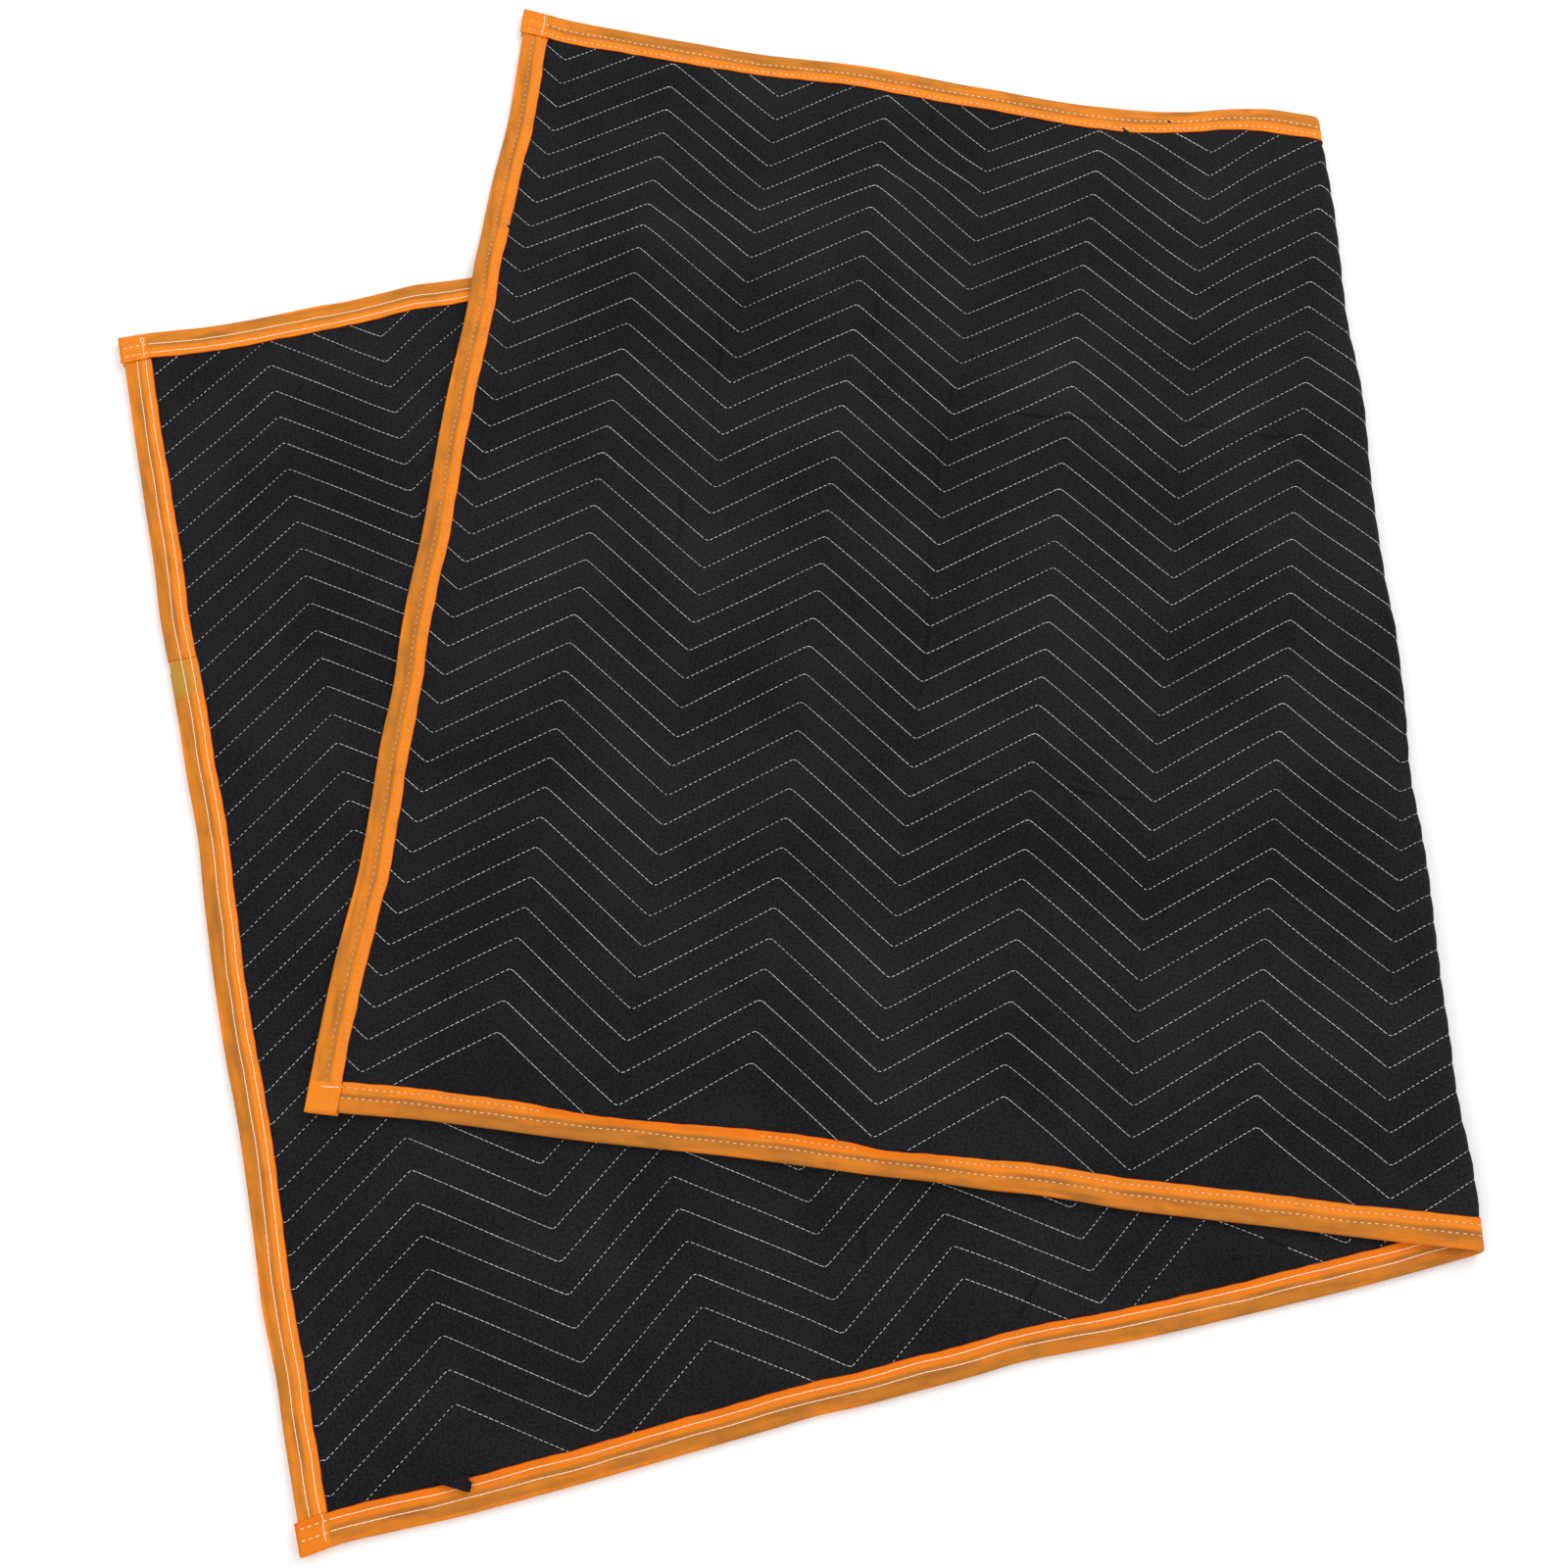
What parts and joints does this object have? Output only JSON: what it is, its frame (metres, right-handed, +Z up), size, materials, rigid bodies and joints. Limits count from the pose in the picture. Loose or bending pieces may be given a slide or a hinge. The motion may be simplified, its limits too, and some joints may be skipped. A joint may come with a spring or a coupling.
{
  "type": "moving pad",
  "caption": "Black zigzag-quilted moving pad edged in orange tape, folded once and lying flat.",
  "frame": {"origin": "on the floor, under the middle of the folded pad's outline", "axes": "+Z up from the floor; +Y across the pad's width, from the near edge to the far edge; +X towards the fold"},
  "size_m": [1.1176, 1.3478, 0.0187],
  "materials": {
    "black_quilted_cloth": "matt needled cloth, sewn through in zigzag rows",
    "orange_binding_tape": "matt woven tape"
  },
  "bodies": {
    "root": {"quilted_pad": "black_quilted_cloth", "binding_short_a": "orange_binding_tape", "binding_short_b": "orange_binding_tape", "binding_long_near": "orange_binding_tape", "binding_long_far": "orange_binding_tape"}
  },
  "joints": []
}
